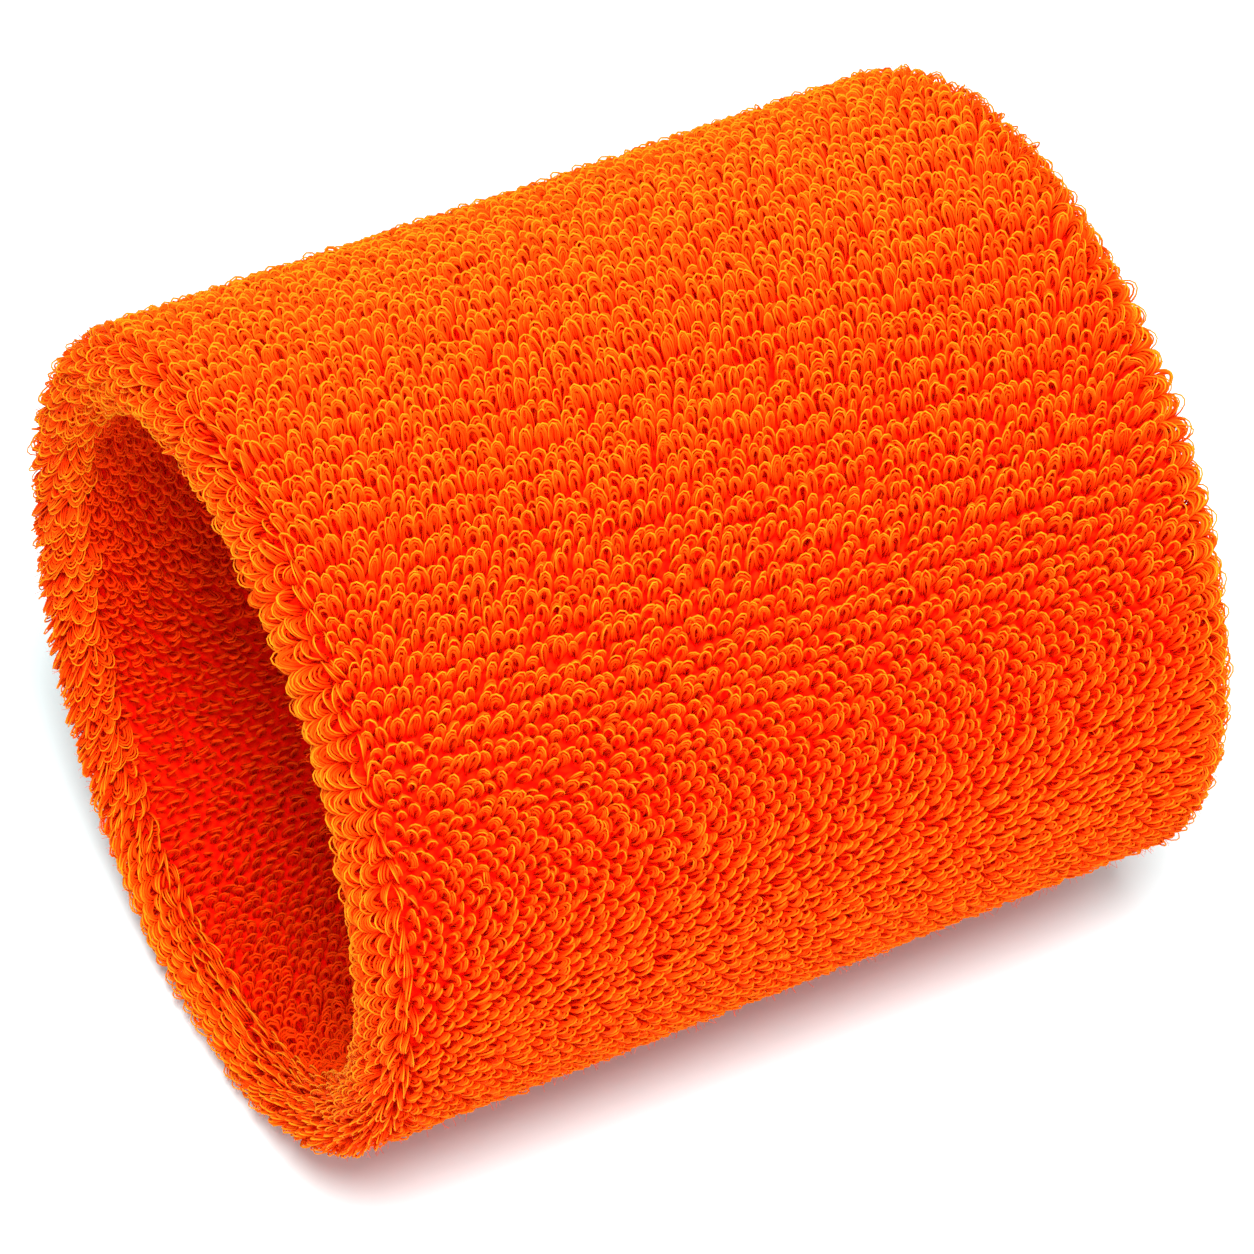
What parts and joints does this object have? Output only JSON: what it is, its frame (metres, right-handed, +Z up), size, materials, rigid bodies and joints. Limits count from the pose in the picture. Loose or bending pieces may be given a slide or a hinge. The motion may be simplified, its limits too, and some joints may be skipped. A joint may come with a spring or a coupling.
{
  "type": "sweat wristband",
  "caption": "Double-ply terry knit tube worn on the wrist to soak up sweat, with looped pile on both faces, folded rims and a hidden inner seam.",
  "frame": {"origin": "under the middle of the band, on the surface that it rests on", "axes": "+X along the band's axis, from the left rim to the right rim; +Z up, away from the flattened underside"},
  "size_m": [0.067, 0.06, 0.0593],
  "materials": {
    "pile": "matte cotton-blend terry loops, saturated orange",
    "ground": "fine plain knit, matte, deeper orange",
    "elastic": "covered elastic yarn, slight sheen",
    "thread": "textured polyester seaming thread"
  },
  "bodies": {
    "root": {"outer_ply_pile": "pile", "outer_ply_ground": "ground", "outer_ply_elastic": "elastic", "left_rim_pile": "pile", "left_rim_ground": "ground", "left_inner_ply_pile": "pile", "left_inner_ply_ground": "ground", "left_inner_ply_elastic": "elastic", "left_seam_allowance": "ground", "right_rim_pile": "pile", "right_rim_ground": "ground", "right_inner_ply_pile": "pile", "right_inner_ply_ground": "ground", "right_inner_ply_elastic": "elastic", "right_seam_allowance": "ground", "seam_thread": "thread"}
  },
  "joints": []
}
